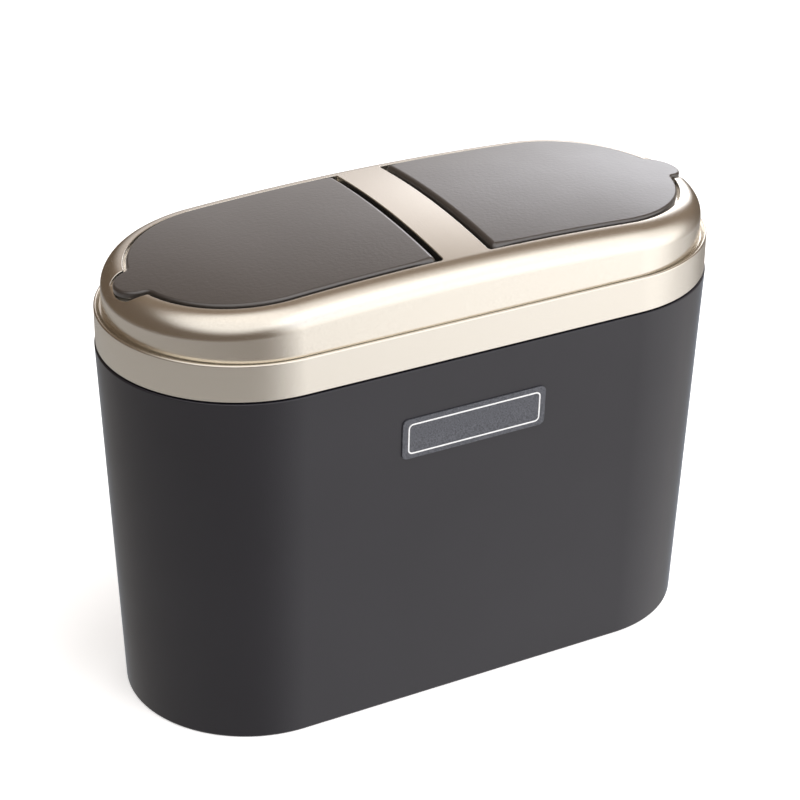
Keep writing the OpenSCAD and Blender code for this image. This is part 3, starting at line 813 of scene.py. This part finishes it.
def add_hooks(shell):
    """Six snap hooks under the cover, three on each long side."""
    _, y_axis, z_axis = np.eye(3)
    leg_in, nose_low = HOOK_OUT - HOOK_T, HOOK_NOSE_Z - 2 * HOOK_NOSE
    root_s, root_low, root_top = COVER_S - COVER_WALL / 2, LEDGE_Z + HOOK_FIT, LEDGE_Z + HOOK_ROOT_H
    hook = [
        (leg_in, nose_low),
        (HOOK_OUT, nose_low),
        (HOOK_OUT + HOOK_NOSE, HOOK_NOSE_Z - HOOK_NOSE),
        (HOOK_OUT + HOOK_NOSE, HOOK_NOSE_Z),
        (HOOK_OUT, HOOK_NOSE_Z),
        (HOOK_OUT, root_low),
        (root_s, root_low),
        (root_s, root_top),
        (leg_in + HOOK_T / 2, root_top),
        (leg_in, root_top - HOOK_T),
    ]
    for side in (1, -1):
        for middle in (-HOOK_PITCH, 0, HOOK_PITCH):
            prism(shell, hook, (middle - side * HOOK_W / 2, 0, 0), side * y_axis, z_axis, HOOK_W)


def add_lugs(shell):
    """A lug and a boss at both ends of each pin."""
    x_axis, _, z_axis = np.eye(3)
    lug_low = LUG_LOW - PIN_Z
    lug = [(-LUG_HALF_W, lug_low), (LUG_HALF_W, lug_low), (LUG_HALF_W, LUG_TOP), (-LUG_HALF_W, LUG_TOP)]
    boss = Shell()
    tube(boss, BOSS_R, LUG_Y, RECESS_R + BOSS_ROOT)
    points, normals = np.concatenate(boss.points), np.concatenate(boss.normals)
    for side in (1, -1):
        for end in (1, -1):
            prism(shell, lug, (side * PIN_X, end * RECESS_R, PIN_Z), -end * x_axis, z_axis, LUG_T)
            flip = np.array((side, end, 1))
            faces = boss.faces if side == end else [face[::-1] for face in boss.faces]
            shell.add(points * flip, faces, normals * flip)


def cover_piece():
    """The cover: its crowned sheets and its wall, with the snap hooks and the pins' lugs."""
    shell = Shell()
    add_cover_sheets(shell)
    add_cover_wall(shell)
    add_hooks(shell)
    add_lugs(shell)
    return shell.build("cover_shell")


def tube(shell, radius, start, stop):
    """A sleeve round the right pin between two distances along it, with broken edges."""
    corners = [(0, BORE_R, start, 0), (0, BORE_R, stop, 0),
               (0, radius, stop, BORE_EDGE_R), (0, radius, start, BORE_EDGE_R)]
    sweep(shell, PIN_PATH, rounded(corners), about_pin)


def box_line(low_x, low_y, high_x, high_y):
    """Closed line round a rectangle in plan."""
    return np.array([(low_x, low_y), (high_x, low_y), (high_x, high_y), (low_x, high_y)])


def past_end(u, v):
    """Distance of plan points from the anchor of the flap's round end, and nothing before it."""
    return np.hypot(u - END_C, v) * (u > END_C)


def flap_edge_radius(x):
    """Radius of the flap's top edge, which is larger at the hinge."""
    share = np.clip((x - FLAP_X - FLAP_CORNER_R) / HINGE_EDGE_BLEND, 0, 1)
    return HINGE_EDGE_R + (FLAP_EDGE_R - HINGE_EDGE_R) * share


def skirt_line(radius):
    """Outline of the flap's skirt, with a straight hinge side and a round end."""
    return np.concatenate([[(RIB_X, -radius)], arc((END_C, 0), radius, -90, 90)[0], [(RIB_X, radius)]])


def flap_net(edge, edge_normals, skirt):
    """Corners and triangles of a flap in plan, with all lines at which its sheets change."""
    edge_r = flap_edge_radius(edge[:, 0])
    loops = [edge - edge_normals * (share * edge_r)[:, None] for share in EDGE_SHARES] + skirt
    half = RIB_T / 2
    for y in RIB_ROWS:
        rib_end = END_C + math.sqrt((FLAP_SKIRT_R - half) ** 2 - y ** 2)
        loops.append(box_line(RIB_X, y - half, rib_end, y + half))
    loops.append(box_line(RIB_X, -CROSS_RIB_S, RIB_X + RIB_T, CROSS_RIB_S))
    loops += [box_line(WEB_LOW_X, low, WEB_HIGH_X, high) for low, high in KNUCKLE_SPANS]
    loops.append(arc((END_C, 0), FLAP_R, -TAB_ROOT_ANGLE, TAB_ROOT_ANGLE)[0])
    loops.append(box_line(*(edge.min(axis=0) - NET_MARGIN), *(edge.max(axis=0) + NET_MARGIN)))

    columns = np.linspace(FLAP_X + NET_START, END_C + NET_REACH, NET_COLUMNS)
    loose = [(x, y) for x in columns for y in np.linspace(-NET_HALF_W, NET_HALF_W, NET_ROWS)]
    loose = [(x, y) for x, y in loose if np.hypot(max(x - END_C, 0), y) < FLAP_R - NET_INSET]
    return triangulate(loops, loose)


def flap_regions(corners, triangles, edge, skirt):
    """The name of the region of a flap in which each triangle lies."""
    u, v = corners[triangles].mean(axis=1).T
    region = np.full(len(triangles), "plate", dtype=object)
    for low, high in KNUCKLE_SPANS:
        region[(u > WEB_LOW_X) & (u < WEB_HIGH_X) & (v > low) & (v < high)] = "web"
    in_skirt = inside(skirt[1], u, v)
    for y in RIB_ROWS:
        region[in_skirt & (np.abs(v - y) < RIB_T / 2)] = "rib"
    region[in_skirt & (u < RIB_X + RIB_T)] = "rib"
    region[inside(skirt[0], u, v) & ~in_skirt] = "skirt"
    region[past_end(u, v) > FLAP_R] = "tab"
    region[~inside(edge, u, v)] = OPEN
    return region


def flap_piece(name, mirrored):
    """A flap: a crowned plate with rounded edges and a finger tab, over skirt, ribs and knuckles."""
    shell = Shell()
    edge, edge_normals = lobed_outline(FLAP_X, FLAP_CORNER_R, FLAP_R, TAB_R, TAB_FILLET_R)
    skirt = [skirt_line(FLAP_SKIRT_R), skirt_line(FLAP_SKIRT_R - RIB_T)]
    corners, triangles = flap_net(edge, edge_normals, skirt)
    u, v = corners.T
    s, direction = spine(u, v)
    top_ry = CROWN_RY + FLAP_PROUD
    height = arch(s, top_ry)
    out = s / top_ry
    slope = np.stack([out, np.sqrt(1 - out ** 2)], -1)
    gap, foot, normal = nearest(edge, edge_normals, u, v)
    top, normals = rounded_top(height, slope, direction, gap, flap_edge_radius(foot[:, 0]), normal)
    plate = arch(s, top_ry - FLAP_T)
    thinned = np.clip((past_end(u, v) - FLAP_R) / TAB_BLEND, 0, 1)
    sheets = {
        "plate": (top, plate),
        "skirt": (top, arch(s, top_ry - FLAP_T - FLAP_SKIRT_H)),
        "rib": (top, arch(s, top_ry - FLAP_T - RIB_H)),
        "tab": (top, height - FLAP_T + (FLAP_T - TAB_T) * thinned),
        "web": (top, np.minimum(PIN_Z - CROWN_Z + BORE_R + WEB_OVER_BORE, plate)),
    }
    region = flap_regions(corners, triangles, edge, skirt)
    layered(shell, corners, triangles, region, sheets, dict.fromkeys(sheets, normals))
    for low, high in KNUCKLE_SPANS:
        tube(shell, KNUCKLE_R, low, high)
    return shell.build(name, mirrored)


def body_piece():
    """The bucket: drafted wall on a standing rim, with a rounded shoulder and the bag lip."""
    shell = Shell()
    foot_in = BASE_S - BASE_EDGE_R - FOOT_W
    inner_low = BASE_S - BODY_WALL
    corners = [
        (END_C, foot_in - UNDERSIDE_BAND, FLOOR_LOW, 0),
        (END_C, foot_in, FLOOR_LOW, FOOT_EDGE_R),
        (END_C, foot_in, 0, FOOT_EDGE_R),
        (END_C, BASE_S, 0, BASE_EDGE_R),
        (END_C, RIM_S, BODY_HEIGHT, RIM_EDGE_R),
        (END_C, LIP_OUT, BODY_HEIGHT, FINE_EDGE_R),
        (END_C, LIP_OUT, LIP_TOP, FINE_EDGE_R),
        (END_C, LIP_IN, LIP_TOP, FINE_EDGE_R),
        (END_C, inner_low, FLOOR_TOP, FLOOR_EDGE_R),
        (END_C, inner_low - FLOOR_BAND, FLOOR_TOP, 0),
    ]
    section = rounded(corners, closed=False, step=9.0)
    first, last = sweep(shell, BODY_PATH, section, level)
    shell.cap(first, (0.0, 0.0, -1.0))
    shell.cap(last, (0.0, 0.0, 1.0))
    return shell.build("bucket_shell")


def ring_piece():
    """The clamp ring: a band with a sloped top, the ledge under the cover and the clamping wall."""
    shell = Shell()
    groove_s = GROOVE_S + COVER_GAP
    corners = [
        (END_C, RING_SKIRT_IN, RING_LOW, FINE_EDGE_R),
        (END_C, RING_S, RING_LOW, FINE_EDGE_R),
        (END_C, RING_S, RING_TOP, RING_EDGE_R),
        (GROOVE_C, groove_s, RING_TOP - RING_GROOVE_D, RING_GROOVE_R),
        (GROOVE_C, groove_s, LEDGE_Z, 0),
        (END_C, RING_INNER_IN, LEDGE_Z, FINE_EDGE_R),
        (END_C, RING_INNER_IN, RING_INNER_LOW, FINE_EDGE_R),
        (END_C, RING_INNER_OUT, RING_INNER_LOW, FINE_EDGE_R),
        (END_C, RING_INNER_OUT, LIP_TOP, 0),
        (END_C, RING_SKIRT_IN, LIP_TOP, 0),
    ]
    sweep(shell, BODY_PATH, rounded(corners, step=12.0), level)
    return shell.build("clamp_band")


def badge_plate():
    """The blank badge: a thin plate with a broken edge."""
    plate = Shell()
    half_w, half_h = BADGE_W / 2 - BADGE_CORNER_R, BADGE_H / 2 - BADGE_CORNER_R
    corners = [
        (half_w, BADGE_CORE_R, 0, 0),
        (half_w, BADGE_CORNER_R, 0, 0),
        (half_w, BADGE_CORNER_R, BADGE_T, BADGE_EDGE_R),
        (half_w, BADGE_CORE_R, BADGE_T, 0),
    ]
    first, last = sweep(plate, BADGE_PATH, rounded(corners, closed=False), on_badge, half_h)
    plate.cap(first, (0.0, 1.0, 0.0))
    plate.cap(last, on_badge(np.zeros(1), np.zeros(1), np.zeros(1))[1][0, 2])
    return plate.build("badge_face")


def badge_line():
    """The thin raised border line of the badge."""
    border = Shell()
    line_w = BADGE_W / 2 - BORDER_INSET_X - BORDER_CORNER_R
    line_h = BADGE_H / 2 - BORDER_INSET_Y - BORDER_CORNER_R
    low, high = BADGE_T - BORDER_ROOT, BADGE_T + BORDER_T
    line_in, line_out = BORDER_CORNER_R - BORDER_W, BORDER_CORNER_R
    corners = [
        (line_w, line_in, low, 0),
        (line_w, line_out, low, 0),
        (line_w, line_out, high, BORDER_EDGE_R),
        (line_w, line_in, high, BORDER_EDGE_R),
    ]
    sweep(border, BADGE_PATH, rounded(corners), on_badge, line_h)
    return border.build("badge_border")


def add_node(tree, kind, **settings):
    """A node of a kind, with its properties and input sockets set by name."""
    node = tree.nodes.new(kind)
    for key, value in settings.items():
        if hasattr(node, key):
            setattr(node, key, value)
        else:
            node.inputs[key.replace("_", " ")].default_value = value
    return node


def object_noise(tree, scale, detail=2.0):
    """Noise over the object's own coordinates, given in features per metre."""
    coordinates = add_node(tree, "ShaderNodeTexCoord")
    noise = add_node(tree, "ShaderNodeTexNoise", Scale=scale, Detail=detail, Roughness=0.5)
    tree.links.new(coordinates.outputs["Object"], noise.inputs["Vector"])
    return noise.outputs["Fac"]


def add_tint(tree, shader, scale, dark, light):
    """Base colour that varies between two colours."""
    ramp = add_node(tree, "ShaderNodeValToRGB")
    ends = ((DARK_SHARE, dark), (LIGHT_SHARE, light))
    for element, (share, colour) in zip(ramp.color_ramp.elements, ends):
        element.position = share
        element.color = (*colour, 1.0)
    tree.links.new(object_noise(tree, scale), ramp.inputs["Fac"])
    tree.links.new(ramp.outputs["Color"], shader.inputs["Base Color"])


def add_roughness(tree, shader, scale, low, high):
    """Roughness that varies between two values."""
    spread = add_node(tree, "ShaderNodeMapRange", To_Min=low, To_Max=high)
    tree.links.new(object_noise(tree, scale), spread.inputs["Value"])
    tree.links.new(spread.outputs["Result"], shader.inputs["Roughness"])


def add_relief(tree, shader, scale, detail, strength, depth):
    """Fine relief of the surface, with its depth in metres."""
    relief = add_node(tree, "ShaderNodeBump", Strength=strength, Distance=depth)
    tree.links.new(object_noise(tree, scale, detail), relief.inputs["Height"])
    tree.links.new(relief.outputs["Normal"], shader.inputs["Normal"])


def node_material(name, tint, roughness=None, relief=None, **constants):
    """A material with a tint, varied roughness and relief, and constants on its shader's sockets."""
    material = bpy.data.materials.new(name)
    material.use_nodes = True
    tree = material.node_tree
    shader = tree.nodes["Principled BSDF"]
    for socket, value in constants.items():
        shader.inputs[socket.replace("_", " ")].default_value = value
    add_tint(tree, shader, **tint)
    if roughness:
        add_roughness(tree, shader, **roughness)
    if relief:
        add_relief(tree, shader, **relief)
    return material


def body_plastic():
    """Satin black plastic of the body, a little blue where it is seen along its face."""
    return node_material(
        "body_satin",
        tint=dict(scale=18.0, dark=(0.0095, 0.0088, 0.0145), light=(0.0125, 0.0118, 0.018)),
        roughness=dict(scale=60.0, low=0.36, high=0.44),
        relief=dict(scale=2600.0, detail=3.0, strength=0.6, depth=0.00005),
        Coat_Weight=0.35, Coat_Roughness=0.3,
        Sheen_Weight=0.3, Sheen_Roughness=0.2, Sheen_Tint=(0.6, 0.78, 1.0, 1.0),
    )


def gold_lacquer():
    """Champagne lacquer of the ring and the cover."""
    return node_material(
        "champagne_lacquer",
        tint=dict(scale=3200.0, dark=(0.86, 0.81, 0.72), light=(0.94, 0.90, 0.82)),
        roughness=dict(scale=2200.0, low=0.2, high=0.29),
        relief=dict(scale=1700.0, detail=3.0, strength=0.4, depth=0.00004),
        Metallic=0.97,
    )


def flap_plastic():
    """Warm dark plastic of the flaps, with a fine grain under a satin coat."""
    return node_material(
        "flap_satin",
        tint=dict(scale=24.0, dark=(0.030, 0.025, 0.0225), light=(0.038, 0.032, 0.029)),
        roughness=dict(scale=90.0, low=0.34, high=0.42),
        relief=dict(scale=850.0, detail=4.0, strength=0.9, depth=0.00012),
        IOR=1.66, Coat_IOR=1.66, Coat_Weight=1.0, Coat_Roughness=0.32,
        Sheen_Weight=0.25, Sheen_Roughness=0.3,
    )


def pin_steel():
    """Drawn steel of the hinge pins."""
    return node_material(
        "drawn_steel",
        tint=dict(scale=900.0, dark=(0.55, 0.55, 0.56), light=(0.66, 0.66, 0.67)),
        roughness=dict(scale=1500.0, low=0.2, high=0.34),
        Metallic=1.0,
    )


def badge_metal():
    """Dark foil of the badge, finely mottled."""
    return node_material(
        "badge_foil",
        tint=dict(scale=2500.0, dark=(0.07, 0.073, 0.084), light=(0.158, 0.164, 0.188)),
        roughness=dict(scale=1600.0, low=0.3, high=0.5),
        Metallic=0.6,
    )


def border_silver():
    """Pale silver of the badge's border line."""
    return node_material(
        "border_silver",
        tint=dict(scale=1200.0, dark=(0.8, 0.81, 0.82), light=(0.9, 0.91, 0.92)),
        roughness=dict(scale=1600.0, low=0.3, high=0.4),
        Metallic=0.3,
    )


def floor_white():
    """Matt white of the floor, which glows a little."""
    return node_material(
        "floor_white",
        tint=dict(scale=3.0, dark=(0.88, 0.88, 0.88), light=(0.9, 0.9, 0.9)),
        Roughness=0.7, Specular_IOR_Level=0.0,
        Emission_Color=(1.0, 1.0, 1.0, 1.0), Emission_Strength=0.5,
    )


def world_light():
    """The studio as glossy faces see it: a dim warm room with large soft lights round it."""
    world = bpy.data.worlds.new("studio")
    world.use_nodes = True
    tree = world.node_tree
    coordinates = add_node(tree, "ShaderNodeTexCoord")
    total = None
    for light in STUDIO_LIGHTS.values():
        across = add_node(tree, "ShaderNodeVectorMath", operation="DOT_PRODUCT")
        across.inputs[1].default_value = Vector(light["axis"]).normalized()
        tree.links.new(coordinates.outputs["Generated"], across.inputs[0])
        share = add_node(tree, "ShaderNodeMapRange", interpolation_type="SMOOTHSTEP",
                         From_Min=math.cos(math.radians(light["gone"])),
                         From_Max=math.cos(math.radians(light["full"])))
        tree.links.new(across.outputs["Value"], share.inputs["Value"])
        glow = add_node(tree, "ShaderNodeVectorMath", operation="SCALE")
        glow.inputs[0].default_value = light["colour"]
        tree.links.new(share.outputs["Result"], glow.inputs["Scale"])
        sum_here = add_node(tree, "ShaderNodeVectorMath", operation="ADD")
        sum_here.inputs[1].default_value = ROOM_COLOUR
        if total:
            tree.links.new(total, sum_here.inputs[1])
        tree.links.new(glow.outputs["Vector"], sum_here.inputs[0])
        total = sum_here.outputs["Vector"]
    tree.links.new(total, tree.nodes["Background"].inputs["Color"])
    bpy.context.scene.world = world


def soft_box(name, place, aim, size, power):
    """A square area light at a place in metres, turned towards a point, which gloss doesn't show."""
    data = bpy.data.lights.new(name, "AREA")
    data.shape = "SQUARE"
    data.size = size
    data.energy = power
    light = bpy.data.objects.new(name, data)
    light.location = place
    light.rotation_mode = "QUATERNION"
    light.rotation_quaternion = (Vector(aim) - Vector(place)).to_track_quat("-Z", "Y")
    light.visible_glossy = False
    bpy.context.scene.collection.objects.link(light)


def pale_floor():
    """A wide white floor under the object, which glows a little so that shadows stay pale."""
    mesh = bpy.data.meshes.new("floor")
    signs = ((-1, -1), (1, -1), (1, 1), (-1, 1))
    mesh.from_pydata([(x * FLOOR_HALF, y * FLOOR_HALF, 0) for x, y in signs], [], [(0, 1, 2, 3)])
    floor = bpy.data.objects.new("floor", mesh)
    floor.visible_glossy = False
    bpy.context.scene.collection.objects.link(floor)
    mesh.materials.append(floor_white())


def photo_camera():
    """The camera of the photograph, from its fitted angles, distance and focal length."""
    azimuth = math.radians(CAMERA_AZIMUTH)
    elevation = math.radians(CAMERA_ELEVATION)
    back = Vector((
        math.sin(azimuth) * math.cos(elevation),
        -math.cos(azimuth) * math.cos(elevation),
        math.sin(elevation),
    ))
    data = bpy.data.cameras.new("photo_camera")
    data.sensor_width = SENSOR_WIDTH
    data.lens = SENSOR_WIDTH * FOCAL_PIXELS / IMAGE_PIXELS
    data.clip_start = CLIP_START
    data.clip_end = CLIP_END
    camera = bpy.data.objects.new("photo_camera", data)
    camera.rotation_mode = "QUATERNION"
    camera.location = (Vector(CAMERA_TARGET) + back * CAMERA_DISTANCE) * MM
    roll = Matrix.Rotation(math.radians(CAMERA_ROLL), 3, "Z").to_quaternion()
    camera.rotation_quaternion = (-back).to_track_quat("-Z", "Y") @ roll
    bpy.context.scene.collection.objects.link(camera)
    bpy.context.scene.camera = camera


def finish(piece, material, body, node=None):
    """Gives a piece its material, the body that it rides on and the node that it stands for."""
    piece.data.materials.clear()
    piece.data.materials.append(material)
    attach(piece, body)
    if node:
        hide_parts(node)


gold = gold_lacquer()
flap_dark = flap_plastic()
steel = pin_steel()
finish(body_piece(), body_plastic(), "bin", "bin_body")
finish(ring_piece(), gold, "bin", "clamp_ring")
finish(cover_piece(), gold, "bin", "top_cover")
finish(flap_piece("left_flap_plate", True), flap_dark, "left_flap", "flap_left")
finish(flap_piece("right_flap_plate", False), flap_dark, "right_flap", "flap_right")
finish(badge_plate(), badge_metal(), "bin", "badge_plate")
finish(badge_line(), border_silver(), "bin")
for pin in ("hinge_pin_left", "hinge_pin_right"):
    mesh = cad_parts[pin].data
    mesh.materials.clear()
    mesh.materials.append(steel)

pale_floor()
world_light()
soft_box("top_box", place=(0.4, -0.5, 1.8), aim=(0, 0, 0.1), size=1.2, power=22.0)
photo_camera()

bpy.context.scene.view_settings.view_transform = "Standard"
